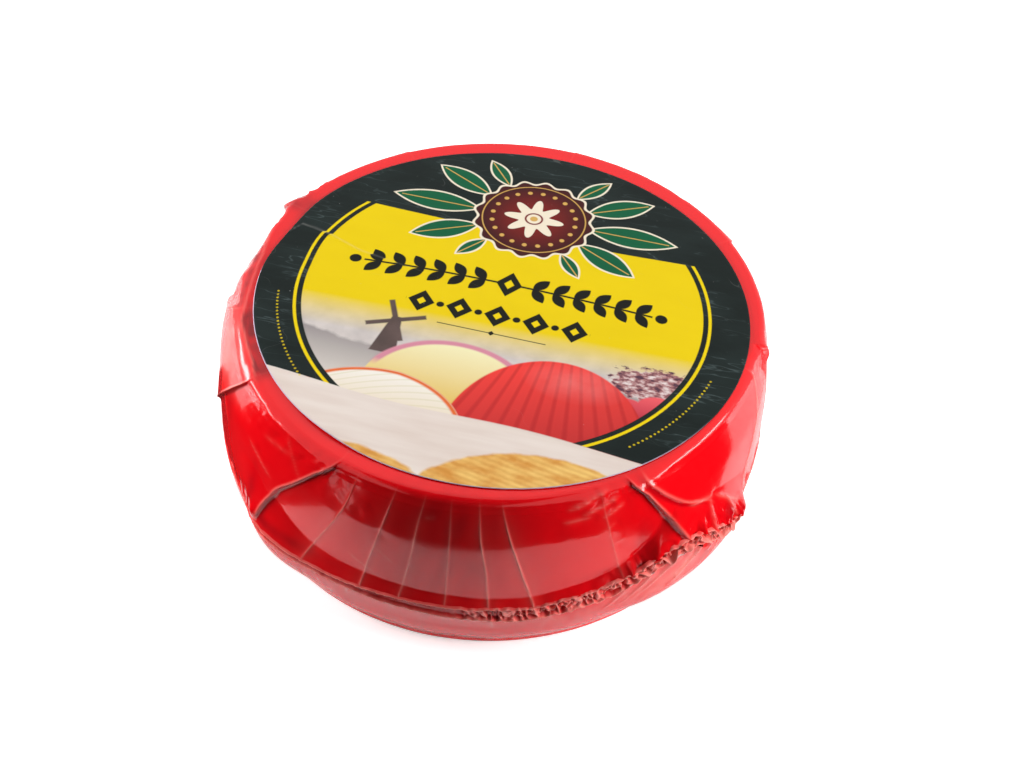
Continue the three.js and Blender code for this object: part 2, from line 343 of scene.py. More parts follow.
def pleat_shape(azimuth, height):
    """How far the pleats raise the film."""
    rise = np.zeros_like(azimuth)
    for path, size in zip(PLEATS, PLEAT_RISE):
        across = arc_length(path_azimuth(path, height), azimuth)
        fade = ease(height, path[0][1], path[0][1] - 14) * 0.85 + 0.15 * ease(height, *PLEATS_START)
        rise += size * fade * (0.9 * crest(across, PLEAT_HALF) + 0.1 * crest(across, 3))
    return rise


def dent_shape(azimuth, height):
    """How far the small dents press the film in."""
    depth = np.zeros_like(azimuth)
    for middle, level, size, deep in DENTS:
        across = arc_length(middle, azimuth)
        depth += deep * bell(np.hypot(across * 0.75, height - level + across * 0.3), size)
    return depth


def small_crease_shape(azimuth, height):
    """How far the small creases raise the upper film, each fading out towards its ends, and the painted highlight
    of a pale line along each.
    """
    rise = np.zeros_like(azimuth)
    lines = np.zeros_like(azimuth)
    for start, end, size in SMALL_CREASES:
        along = np.array([math.radians(end[0] - start[0]) * BELLY_RADIUS, end[1] - start[1]])
        length = math.hypot(*along)
        right, up = arc_length(start[0], azimuth), height - start[1]
        share = (right * along[0] + up * along[1]) / length ** 2
        across = (right * along[1] - up * along[0]) / length
        fade = ease(share, -0.05, 0.25) * ease(share, 1.05, 0.75)
        rise += size * fade * (0.6 * crest(across, 0.45) + 0.4 * crest(across, 2.0))
        # A painted highlight: a pale line along the crease.
        lines += min(size, 0.45) * fade * crest(across, 0.4)
    return rise, lines


def short_crease_shape(azimuth, height):
    """How far the short creases raise the lower film."""
    rise = np.zeros_like(azimuth)
    for path, size in zip(SHORT_CREASES, SHORT_CREASE_RISE):
        across = arc_length(path_azimuth(path, height), azimuth)
        fade = ease(height, path[1][1], path[0][1] - 3)
        rise += size * fade * (0.7 * crest(across, 0.5) + 0.3 * crest(across, 3))
    return rise


def ripple(x, y, z, scale, seed):
    """Smooth noise from about -1 to 1 at points given in millimetres."""
    return np.array([
        noise.noise((a / scale + seed, b / scale, c / scale)) for a, b, c in zip(x, y, z)
    ])


def crumpled(x, y, z, scale, seed):
    """Noise like crushed film: sharp crests at 1, with hollows down to about 0 between them."""
    return 1 - 2 * np.abs(ripple(x, y, z, scale, seed))


# ---- modelling by hand


def added(add_shape, name, **sizes):
    """A new object from one of Blender's own mesh shapes."""
    bpy.ops.object.select_all(action="DESELECT")
    add_shape(**sizes)
    thing = bpy.context.object
    thing.name = name
    return thing


def drawn_out(name, points):
    """A new piece, left in edit mode: a line that is drawn out from one point to the next."""
    piece = added(bpy.ops.mesh.primitive_plane_add, name, size=MM)
    piece.data.name = name
    bpy.ops.object.mode_set(mode="EDIT")
    bpy.ops.mesh.select_all(action="SELECT")
    bpy.ops.mesh.merge(type="CENTER")
    bpy.ops.transform.translate(value=points[0])
    for before, after in zip(points, points[1:]):
        bpy.ops.mesh.extrude_region_move(TRANSFORM_OT_translate={"value": after - before})
    return piece


def turned(name, profile, columns):
    """A profile of (radius, height) points in millimetres, drawn out point by point and turned once round."""
    piece = drawn_out(name, [Vector((radius * MM, 0, height * MM)) for radius, height in profile])
    bpy.ops.object.mode_set(mode="OBJECT")
    lathe = piece.modifiers.new("lathe", "SCREW")
    lathe.steps = columns
    lathe.render_steps = columns
    lathe.use_merge_vertices = True
    lathe.merge_threshold = 0.01 * MM
    bpy.ops.object.modifier_apply(modifier="lathe")
    bpy.ops.object.mode_set(mode="EDIT")
    bpy.ops.mesh.select_all(action="SELECT")
    bpy.ops.mesh.remove_doubles(threshold=0.01 * MM)
    bpy.ops.mesh.normals_make_consistent(inside=False)
    bpy.ops.object.mode_set(mode="OBJECT")
    bpy.ops.object.shade_smooth()
    return piece


def corners(piece):
    """A piece's vertices in millimetres, as three arrays."""
    flat = np.zeros(len(piece.data.vertices) * 3, np.float32)
    piece.data.vertices.foreach_get("co", flat)
    return (flat.reshape(-1, 3).T / MM).astype(float)


def place_corners(piece, x, y, z):
    """Moves a piece's vertices, in millimetres."""
    flat = (np.stack([x, y, z], 1) * MM).astype(np.float32).ravel()
    piece.data.vertices.foreach_set("co", flat)
    piece.data.update()


def place_round(piece, radius, azimuth, height):
    """Moves a piece's vertices, with their places given round the wheel."""
    angle = np.radians(azimuth)
    place_corners(piece, radius * np.cos(angle), radius * np.sin(angle), height)


def note_on(piece, name, values):
    """Keeps one number for each vertex, which the finish reads."""
    layer = piece.data.attributes.new(name, "FLOAT", "POINT")
    layer.data.foreach_set("value", values.astype(np.float32))


FILM_COLUMNS = 1200
CREASE_CLOSENESS = 0.55

# The radius where the flat ring starts, the radii over which the wall's shapes and its draw-in set in, the
# heights over which the wall is drawn in, and the distances from the seam over which the crumples fade.
RING_START = 88
WALL_SETS_IN = (97, 101.5)
DRAW_IN_SETS_IN = (95.5, 99)
DRAW_IN_HEIGHTS = (66, 84)
CRUMPLE_FADES = (11, 3)


def on_columns(piece_azimuth, height, columns):
    """Slants and gathers evenly turned columns, so that one runs along each crest and more lie beside it."""
    middle = np.array([60.0])
    lines = [
        (fold_foot(path, side, middle)[0] % 360, fold_foot(path, side, height)) for path, rise, side in FOLDS
    ]
    lines += [(path_azimuth(path, middle)[0] % 360, path_azimuth(path, height)) for path in PLEATS]
    lines.sort(key=lambda line: line[0])
    step = 360 / columns
    guides = [round(at_middle / step) * step for at_middle, line in lines]
    places = np.array([line for at_middle, line in lines])
    places = np.where(places - np.array(guides)[:, None] > 180, places - 360, places)
    places = np.where(places - np.array(guides)[:, None] < -180, places + 360, places)
    guides = np.array([guides[-1] - 360] + guides + [guides[0] + 360])
    places = np.vstack([places[-1:] - 360, places, places[:1] + 360])
    turned_azimuth = piece_azimuth % 360
    a_little = step / 9
    gap = np.searchsorted(guides, turned_azimuth + a_little, side="right") - 1
    share = (turned_azimuth - guides[gap]) / (guides[gap + 1] - guides[gap])
    share = share - CREASE_CLOSENESS * np.sin(2 * np.pi * share) / (2 * np.pi)
    vertex = np.arange(len(height))
    return places[gap, vertex] + share * (places[gap + 1, vertex] - places[gap, vertex])


def oval(azimuth):
    return OVAL_STRETCH * np.cos(2 * np.radians(azimuth - OVAL_AZIMUTH))


def patches(table, azimuth, height):
    """The sum of soft patches on the wall, from a table of places, half widths and strengths."""
    return sum(
        size * bell(np.hypot(turn_from(middle, azimuth) / wide, (height - level) / tall), 1)
        for middle, level, wide, tall, size in table
    )


def inside_ring_crease(azimuth, radius):
    """How far inside the ring's crease each point lies, and how much of the crease is there."""
    past_zero = azimuth % 360
    there = ease(past_zero, *RING_CREASE_STARTS) * ease(past_zero, *RING_CREASE_ENDS)
    return from_table(RING_CREASE, past_zero) - radius, there


def ear_crumple(azimuth, height, x, y, z):
    """The crushed film at an ear, strongest next to the seam."""
    off_seam = np.abs(height - seam_size(azimuth, "middle"))
    near = seam_size(azimuth, "crumple") * ease(off_seam, *CRUMPLE_FADES)
    return near * (2.0 * crumpled(x, y, z * 0.3, 7, 4) + 0.6 * crumpled(x, y, z * 0.6, 3, 8) - 1.2)


def crushed_shoulder(azimuth, x, y, z):
    """The small sharp creases where the shoulder's film is crushed."""
    depth = sum(size * bell(turn_from(middle, azimuth), width) for middle, width, size in CRUSHED_SHOULDER)
    return depth * (crumpled(x, y, z, 7, 51) + 0.5 * crumpled(x, y, z, 3, 53) - 0.75)


def top_edge():
    """The middle of the turned rounding at the top edge, as its radius and height."""
    shoulder = WHEEL_HEIGHT - TOP_EDGE_RADIUS
    return float(wall_radius(np.array(shoulder))) - TOP_EDGE_RADIUS, shoulder


def shape_upper_film(piece):
    """Presses the folds, the flare to the upper lip and the film's slack into the turned upper sheet."""
    x, y, z = corners(piece)
    radius = np.hypot(x, y)
    centre, shoulder = top_edge()
    azimuth = on_columns(np.degrees(np.arctan2(y, x)), z, FILM_COLUMNS)

    # Sets each point on the bare wheel, with the rounding of its azimuth.
    rounding = from_table(SHOULDER_RADII, azimuth)
    rounder, drop = rounding / TOP_EDGE_RADIUS, rounding - TOP_EDGE_RADIUS
    start = shoulder - drop
    down = np.clip((shoulder - z) / (shoulder - SEAM_HEIGHT), 0, 1)
    height = np.where(z < shoulder, start - down * (start - upper_lip(azimuth)), start + (z - shoulder) * rounder)
    on_ring = radius - drop * ease(radius, RING_START, centre)
    on_edge = centre - drop + (radius - centre) * rounder
    radius = np.where(z < shoulder, wall_radius(height), np.where(radius > centre, on_edge, on_ring))
    x, y = radius * np.cos(np.radians(azimuth)), radius * np.sin(np.radians(azimuth))

    rise, lean, crests, hollows = fold_shape(azimuth, height)
    pleats = pleat_shape(azimuth, height)
    small_creases, small_crease_highlights = small_crease_shape(azimuth, height)
    slack = 0.16 * ripple(x, y, height * 0.5, 17, 3) + 0.05 * ripple(x, y, height * 0.6, 6, 9)
    slack += ease(height, 68, 78) * (0.06 * ripple(x, y, height, 4, 61) + crushed_shoulder(azimuth, x, y, height))
    out = upper_flare(azimuth, height) + rise + pleats + small_creases - dent_shape(azimuth, height) + slack
    out += ear_crumple(azimuth, height, x, y, height) + patches(LOBES, azimuth, height)
    on_wall = ease(radius, *WALL_SETS_IN)
    draw_in = from_table(DRAW_INS, azimuth) * ease(height, *DRAW_IN_HEIGHTS) * ease(radius, *DRAW_IN_SETS_IN)
    radius = radius + oval(azimuth) * radius / BELLY_RADIUS + on_wall * out - draw_in

    within, there = inside_ring_crease(azimuth, radius)
    there = there * ease(height, 74, 82)
    raised = height + there * 0.35 * crest(within, 1.2) - there * 0.5 * ease(within, 0, -4)
    place_round(piece, radius, azimuth + np.degrees(on_wall * lean / BELLY_RADIUS), raised)

    # The pale colour is partly the film whitened along the pleats and partly painted light: a painted highlight
    # along the fold crests, the small creases and the ring's crease, and painted reflections of the pale floor in
    # soft patches, broken up by noise.
    patchiness = 0.6 + 0.5 * crumpled(x, y, height * 0.5, 9, 71)
    pale = 3.4 * pleats + 0.45 * crests + 0.9 * small_crease_highlights + 0.3 * there * bell(within, 0.5)
    pale += patches(PALE_REFLECTION_PATCHES, azimuth, height) * ease(within, 0.6, -0.6) * patchiness
    note_on(piece, "crease", np.clip(pale, 0, 0.8))
    # Painted shade, partly film lying double: deeper red inside the ring's crease, in the table's patches and
    # beside the folds' crests.
    lower_ring = ease(azimuth % 360, 196, 204)
    deep = there * (lower_ring * ease(within, -0.3, 0.5) + (1 - lower_ring) * bell(within + 2.2, 1.7))
    deep = (patches(DOUBLED_AND_SHADE, azimuth, height) + 1.1 * deep) * (0.7 + 0.5 * ripple(x, y, height * 0.4, 5, 73))
    note_on(piece, "doubled_and_shade", np.clip(deep + 0.6 * hollows, 0, 1))


def shape_lower_film(piece):
    """Presses the flare to the lower lip and the film's slack into the turned lower sheet."""
    x, y, z = corners(piece)
    radius = np.hypot(x, y)
    azimuth = np.degrees(np.arctan2(y, x))
    edge = BASE_EDGE_RADIUS
    up = np.clip((z - edge) / (SEAM_HEIGHT - edge), 0, 1)
    height = np.where(z > edge, edge + up * (lower_lip(azimuth) - edge), z)
    radius = np.where(z > edge, wall_radius(height), radius)
    on_wall = ease(z, 0.5, edge)
    creases = on_wall * short_crease_shape(azimuth, height)
    out = lower_flare(azimuth, height) + 0.6 * ear_crumple(azimuth, height, x, y, height)
    out += 0.2 * ripple(x, y, height * 0.5, 19, 13) + 0.05 * ripple(x, y, height * 0.6, 7, 19)
    radius = radius + oval(azimuth) * radius / BELLY_RADIUS + on_wall * out + creases
    place_round(piece, radius, azimuth, height)
    # Pale along the short creases, with painted reflections of the pale floor in soft patches; deeper red in
    # patches, partly film lying double and partly painted shade.
    pale = 1.1 * creases + patches(PALE_REFLECTION_PATCHES, azimuth, height) * (0.3 + crumpled(x, y, height * 0.3, 5, 75))
    note_on(piece, "crease", np.clip(pale, 0, 0.7))
    note_on(piece, "doubled_and_shade", np.clip(patches(DOUBLED_AND_SHADE, azimuth, height), 0, 1))


def arc(middle, size, start, end, steps):
    """Points of a round edge in a profile, from one angle above the horizontal to another."""
    turns = [math.radians(start + (end - start) * step / steps) for step in range(steps + 1)]
    return [(middle[0] + size * math.cos(turn), middle[1] + size * math.sin(turn)) for turn in turns]


def wall_points(start, end, steps):
    heights = [start + (end - start) * step / steps for step in range(1, steps + 1)]
    return [(float(wall_radius(np.array(height, float))), height) for height in heights]


def film_top():
    """The film's upper sheet: over the flat top, round the shoulder and down the wall to the seam."""
    centre, shoulder = top_edge()
    flat = [(0, WHEEL_HEIGHT), (60, WHEEL_HEIGHT)]
    flat += [(radius, WHEEL_HEIGHT) for radius in np.linspace(RING_START, centre - 0.6, 14)]
    edge = arc((centre, shoulder), TOP_EDGE_RADIUS, 90, 0, 8)
    wall = wall_points(shoulder, SEAM_HEIGHT, 57)
    sheet = turned("film_top", flat + edge + wall, FILM_COLUMNS)
    shape_upper_film(sheet)
    return sheet


def film_base():
    """The film's lower sheet: from the seam down the wall, and under the wheel."""
    centre = float(wall_radius(np.array(float(BASE_EDGE_RADIUS)))) - BASE_EDGE_RADIUS
    wall = wall_points(SEAM_HEIGHT + 1, BASE_EDGE_RADIUS, 46)
    edge = arc((centre, BASE_EDGE_RADIUS), BASE_EDGE_RADIUS, 0, -90, 10)
    flat = [(70, 0), (0, 0)]
    sheet = turned("film_base", wall[:-1] + edge + flat, FILM_COLUMNS)
    shape_lower_film(sheet)
    return sheet


SEAM_COLUMNS = 2400
SEAM_ROWS = 36

# How the seam changes round the wheel: how deep its channel is, and how much crushed film crosses it.
SEAM_AZIMUTHS = [-180, -150, -128, -122, -104, -98, -84, -79, -60, -40, -20, -10, 40, 62, 90, 130, 150, 180]
SEAM_OPEN = [0.3, 0.3, 0.5, 0.2, 0.3, 0.5, 0.5, 0.8, 1.1, 1.3, 1.2, 0.3, 0.3, 1.2, 0.4, 0.4, 1.2, 0.3]
SEAM_LIPS = [0.2, 0.1, 0.3, 1, 1, 1, 1, 1, 1, 1, 1, 0.6, 0.6, 1, 0.7, 0.7, 1, 0.2]
SEAM_WEBS = [0.3, 0.3, 0.6, 0.2, 0.2, 0, 0.1, 1, 1, 1, 1, 0.4, 0.3, 1, 0.3, 0.3, 1, 0.3]
LIP_THICKNESS = 0.45
LIP_RISE = 1.0
LIP_OVERLAP = 0.9
CELL_WIDTH = 3.3
CHANNEL_DEPTH = 1.4


def seam_band():
    """The crimped seam, all the way round: two thin ragged lips, and a channel that crushed webs cross."""
    profile = [(BELLY_RADIUS, SEAM_HEIGHT + share) for share in np.linspace(1, -1, SEAM_ROWS + 1)]
    band = turned("seam_band", profile, SEAM_COLUMNS)
    x, y, z = corners(band)
    azimuth = np.degrees(np.arctan2(y, x))
    half = seam_size(azimuth, "half_gap")
    up = (z - SEAM_HEIGHT) * (half + LIP_OVERLAP)
    zero = np.zeros_like(up)
    opened = np.interp(azimuth, SEAM_AZIMUTHS, SEAM_OPEN)
    webs = np.interp(azimuth, SEAM_AZIMUTHS, SEAM_WEBS)
    crumple = seam_size(azimuth, "crumple")
    ragged = 0.5 * ripple(x, y, zero, 1.5, 1) + 0.4 * ripple(x, y, zero, 0.7, 5)
    ragged_below = 0.5 * ripple(x, y, zero, 1.7, 21) + 0.4 * ripple(x, y, zero, 0.8, 25)
    wander = 0.5 * ripple(x, y, zero, 11, 2) + 0.3 * ripple(x, y, zero, 3, 6)
    edge = half * (1 + 0.3 * webs * ripple(x, y, zero, 2.4, 33))
    lips = np.interp(azimuth, SEAM_AZIMUTHS, SEAM_LIPS)
    upper = lips * crest(up - edge, LIP_THICKNESS)
    lower = lips * crest(up + edge, LIP_THICKNESS)
    run = np.radians(azimuth) * BELLY_RADIUS
    cell = run / CELL_WIDTH + 0.35 * up / half + 2.0 * ripple(x, y, zero, 8, 14) + 0.5 * ripple(x, y, up, 1.8, 16)
    web = webs * bell(cell - np.round(cell), 0.3 + 0.4 * ripple(x, y, zero, 4, 18))
    hollow = ease(np.abs(up), edge, edge * 0.45) * (1 - web)
    out = seam_size(azimuth, "reach") + upper * LIP_RISE * (0.6 + 0.5 * ragged)
    out += lower * LIP_RISE * (0.7 + 0.5 * ragged_below) - CHANNEL_DEPTH * opened * hollow
    out += web * bell(up, half) * (0.3 + 0.5 * ripple(x, y, up, 2, 20))
    out += crumple * bell(up, half + 1) * 1.1 * ripple(x, y, up, 5, 40)
    out -= 0.7 * ease(np.abs(up), half + 0.3, half + LIP_OVERLAP)
    height = seam_size(azimuth, "middle") + up
    height += bell(up, half + 1) * (wander + 0.8 * crumple * ripple(x, y, up, 3.5, 11))
    radius = wall_radius(height) + oval(azimuth) + out
    place_round(band, radius, azimuth, height)
    # The lips and webs are pale crimped film. In the channel's hollows the pale is taken back and the film painted
    # deeper red, as painted shade.
    pale = 0.9 * upper + 0.9 * lower + 0.9 * web * bell(up, half)
    note_on(band, "crease", np.clip(pale, 0, 1) * (1 - 0.7 * hollow))
    note_on(band, "doubled_and_shade", np.clip(0.6 * hollow, 0, 1))
    return band


# The ruffles: crushed strips of spare film that weave from lip to lip where the seam is gathered.
RUFFLES = [
    dict(name="ruffle_front", start=-74, end=-52, wave=4.6, swing=0.9, depth=1.9, seed=1),
    dict(name="ruffle_right_ear", start=-50, end=-15, wave=8.5, swing=2.6, depth=4.4, seed=5),
    dict(name="ruffle_right_tip", start=-34, end=-15, wave=8.5, swing=2.6, depth=3.4, seed=25),
    dict(name="ruffle_left_ear", start=-134, end=-116, wave=5.5, swing=0.8, depth=2.0, seed=9),
    dict(name="ruffle_back_right", start=46, end=80, wave=8.0, swing=2.4, depth=4.0, seed=13),
    dict(name="ruffle_back_left", start=134, end=168, wave=8.0, swing=2.4, depth=4.0, seed=17),
]
RUFFLE_STEPS_PER_MM = 4
RUFFLE_ROWS = 8
FILM_THICKNESS = 0.3


def ruffle(start, end, wave, swing, depth, seed, name):
    """One ruffle: a strip that stands out of the seam, with a free edge that swings up and down."""
    length = math.radians(end - start) * BELLY_RADIUS
    columns = round(length * RUFFLE_STEPS_PER_MM)
    grid = bpy.ops.mesh.primitive_grid_add
    strip = added(grid, name, x_subdivisions=columns, y_subdivisions=RUFFLE_ROWS, size=2)
    along, across = corners(strip)[:2] * MM
    share = (along + 1) / 2
    free = (across + 1) / 2
    azimuth = start + (end - start) * share
    run = share * length
    flat = np.zeros_like(run)
    phase = 2 * np.pi * run / wave + 2.2 * ripple(run, flat, flat, wave * 1.3, seed)
    fade = ease(share, 0, 0.12) * ease(share, 1, 0.88)
    lift = swing * np.sin(phase) + 0.35 * swing * np.sin(2.3 * phase + seed)
    curl = 0.35 * swing * np.cos(phase + 0.6)
    out = free * depth * (0.75 + 0.25 * ripple(run, flat, flat, 2.1, seed + 2)) * (0.35 + 0.65 * fade)
    out -= 0.25 * depth * free ** 2 * np.cos(phase) ** 2
    up = lift * (0.25 + 0.75 * free) * fade + 0.25 * free * ripple(run, free, flat, 1.1, seed + 4)
    azimuth = azimuth + np.degrees(curl * free / BELLY_RADIUS)
    height = seam_size(azimuth, "middle") + up
    radius = wall_radius(height) + oval(azimuth) + seam_size(azimuth, "reach") - 1.6 + out
    place_round(strip, radius, azimuth, height)
    note_on(strip, "crease", 0.35 + 0.65 * free)
    thicken = strip.modifiers.new("thickness", "SOLIDIFY")
    thicken.thickness = FILM_THICKNESS * MM
    thicken.offset = 0
    bpy.ops.object.modifier_apply(modifier="thickness")
    bpy.ops.object.shade_smooth()
    return strip


# ---- finishes


class Wire:
    """A socket of the material in hand. Sums and products of wires add the maths nodes that work them out."""

    nodes = None
    links = None

    def __init__(self, socket):
        self.socket = socket

    @classmethod
    def begin(cls, name):
        """Starts a new material with only its surface output."""
        material = bpy.data.materials.new(name)
        material.use_nodes = True
        cls.nodes = material.node_tree.nodes
        cls.links = material.node_tree.links
        cls.nodes.clear()
        return material

    @classmethod
    def node(cls, kind, settings=(), inputs=(), output=0):
        """Any node, from its type, its settings and the values or wires of its sockets."""
        added = cls.nodes.new(kind)
        for setting, value in dict(settings).items():
            setattr(added, setting, value)
        for socket, value in dict(inputs).items():
            if isinstance(value, Wire):
                cls.links.new(value.socket, added.inputs[socket])
            else:
                added.inputs[socket].default_value = value
        return cls(added.outputs[output]) if added.outputs else None

    @classmethod
    def maths(cls, operation, *values):
        return cls.node("ShaderNodeMath", {"operation": operation}, dict(enumerate(values)))

    def __add__(self, other):
        return self.maths("ADD", self, other)

    def __sub__(self, other):
        return self.maths("SUBTRACT", self, other)

    def __mul__(self, other):
        return self.maths("MULTIPLY", self, other)

    def __rsub__(self, other):
        return self.maths("SUBTRACT", other, self)

    __radd__ = __add__
    __rmul__ = __mul__


def finished(material, surface):
    """Gives the material in hand its surface."""
    Wire.node("ShaderNodeOutputMaterial", {}, {"Surface": surface})
    return material


def noted(name):
    """The numbers that note_on kept."""
    return Wire.node("ShaderNodeAttribute", {"attribute_name": name}, output=2)


def turned_about(place, x, y, tilt):
    """Places seen from a point, with the axes turned by the tilt in degrees."""
    moved = vector_maths("SUBTRACT", place, (x, y, 0))
    return Wire.node(
        "ShaderNodeVectorRotate", {"rotation_type": "Z_AXIS"}, {"Vector": moved, "Angle": -math.radians(tilt)}
    )


def blend(share, before, after):
    """A colour between two others."""
    return Wire.node("ShaderNodeMix", {"data_type": "RGBA"}, {0: share, 6: before, 7: after}, output=2)


def printed(colour, *layers):
    """A colour with layers of ink over it, each given as its share, from 0 to 1, and its ink."""
    for share, shade in layers:
        colour = blend(share, colour, shade)
    return colour


def absolute(value):
    return Wire.maths("ABSOLUTE", value)


def largest(first, *others):
    for other in others:
        first = Wire.maths("MAXIMUM", first, other)
    return first


def smallest(first, *others):
    for other in others:
        first = Wire.maths("MINIMUM", first, other)
    return first


def inside(distance, softness=0.35):
    """1 inside an outline and 0 outside it, from the distance to the outline in millimetres."""
    return Wire.node(
        "ShaderNodeMath", {"operation": "MULTIPLY_ADD", "use_clamp": True},
        {0: distance, 1: -1 / softness, 2: 0.5},
    )


def stroke(distance, width, softness=0.35):
    """1 on a line that follows an outline."""
    return inside(absolute(distance) - width / 2, softness)


def vector_maths(operation, *values, output=0):
    return Wire.node("ShaderNodeVectorMath", {"operation": operation}, dict(enumerate(values)), output=output)


def from_parts(x, y):
    return Wire.node("ShaderNodeCombineXYZ", {}, {0: x, 1: y, 2: 0.0})


def parts(place):
    split = Wire.node("ShaderNodeSeparateXYZ", {}, {0: place})
    return split, Wire(split.socket.node.outputs[1])


def round_about(place, x, y):
    """The distance to a point."""
    return vector_maths("DISTANCE", place, (x, y, 0), output=1)


def ellipse(place, x, y, half_width, half_height):
    """About the distance to an ellipse's outline, negative inside it."""
    scale = min(half_width, half_height)
    shares, middle = (1 / half_width, 1 / half_height, 0), (-x / half_width, -y / half_height, 0)
    shrunk = vector_maths("MULTIPLY_ADD", place, shares, middle)
    return (vector_maths("LENGTH", shrunk, output=1) - 1) * scale


def leaf(place, x, y, tilt, length, width):
    """About the distance to a pointed leaf, negative inside it, and the distance to its midrib."""
    along, across = parts(turned_about(place, x, y, tilt))
    share = along * (2 / length)
    midrib = largest(absolute(across) - 0.25, absolute(along) - length * 0.4)
    return absolute(across) - (1 - share * share) * (width / 2), midrib


def repeated(value, spacing):
    """The distance past the nearest middle of a row of equal steps, from -spacing / 2 to spacing / 2."""
    return Wire.maths("WRAP", value, spacing / 2, -spacing / 2)


def faded(value, start, end):
    """0 at start, 1 at end, even in between."""
    return Wire.node("ShaderNodeMapRange", {}, {"Value": value, "From Min": start, "From Max": end})


def mottled(place, scale, detail=2.0, stretch=(1, 1, 1)):
    """Noise from 0 to 1 over the print, with spots about 1 / scale millimetres wide."""
    stretched = vector_maths("MULTIPLY", place, stretch)
    return Wire.node("ShaderNodeTexNoise", {}, {"Vector": stretched, "Scale": scale, "Detail": detail})


# The film's red; a pale red for crimped creases and for painted highlights and reflections; and a deeper red for
# film lying double and for painted shade.
FILM_RED = (0.85, 0.002, 0.006, 1)
CREASE_AND_SHEEN_RED = (0.95, 0.32, 0.27, 1)
DOUBLED_AND_SHADE_RED = (0.3, 0.0, 0.004, 1)


def red_shrink_film():
    """Glossy red film. Where it is creased it is paler and duller, and the same pale red is painted on as
    highlights and reflections. Where it lies double it is deeper, and the same deeper red is painted on as shade.
    """
    material = Wire.begin("red_shrink_film")
    crease, doubled_and_shade = noted("crease"), noted("doubled_and_shade")
    place = Wire.node("ShaderNodeTexCoord", output=3)
    scuffs = Wire.node("ShaderNodeTexNoise", {}, {"Vector": place, "Scale": 90, "Detail": 3})
    bump = Wire.node("ShaderNodeBump", {}, {"Strength": 0.15, "Distance": 0.0004, "Height": scuffs})
    shader = Wire.node("ShaderNodeBsdfPrincipled", {}, {
        # Painted highlights, reflections and shade are mixed into the base colour here.
        "Base Color": blend(crease * 0.85, blend(doubled_and_shade, FILM_RED, DOUBLED_AND_SHADE_RED), CREASE_AND_SHEEN_RED),
        "Roughness": 0.15 + crease * 0.2,
        "Metallic": 0.05,
        "Coat Weight": 0.25,
        "Coat Roughness": 0.04,
        "Normal": bump,
    })
    return finished(material, shader)


def plain_finish(name, grey, roughness):
    material = Wire.begin(name)
    settings = {"Base Color": (grey, grey, grey, 1), "Roughness": roughness}
    return finished(material, Wire.node("ShaderNodeBsdfPrincipled", {}, settings))


def glowing(name, strength, clear=False):
    """Gives off white light. A clear one also shows what lies behind it."""
    material = Wire.begin(name)
    glow = Wire.node("ShaderNodeEmission", {}, {"Strength": strength})
    if clear:
        glow = Wire.node("ShaderNodeAddShader", {}, {0: Wire.node("ShaderNodeBsdfTransparent"), 1: glow})
    return finished(material, glow)


# ---- the label

LABEL_LIGHT = 1.08


def ink(red, green, blue):
    """An ink, from the colour it shows under the lamps, in 256 steps as on a screen."""
    linear = [((part / 255 + 0.055) / 1.055) ** 2.4 for part in (red, green, blue)]
    return (*(min(0.95, part / LABEL_LIGHT) for part in linear), 1)


DARK_GREEN = ink(12, 22, 20)
YELLOW = ink(238, 208, 8)
GREEN = ink(8, 88, 56)
MAROON = ink(62, 18, 20)
WARM_MAROON = ink(122, 30, 26)
CREAM = ink(240, 228, 205)
GOLD = ink(214, 170, 90)
BLACK = ink(12, 14, 8)
PAPER_EDGE = ink(206, 190, 212)

PRINT_RADIUS = 77
LINE_RADIUS = 79.6
DOTS_RADIUS = 86
YELLOW_TOP = 40.5
LEAF_ROW = 9.5
LOZENGE_ROW = -9.5
RULE = -19.5


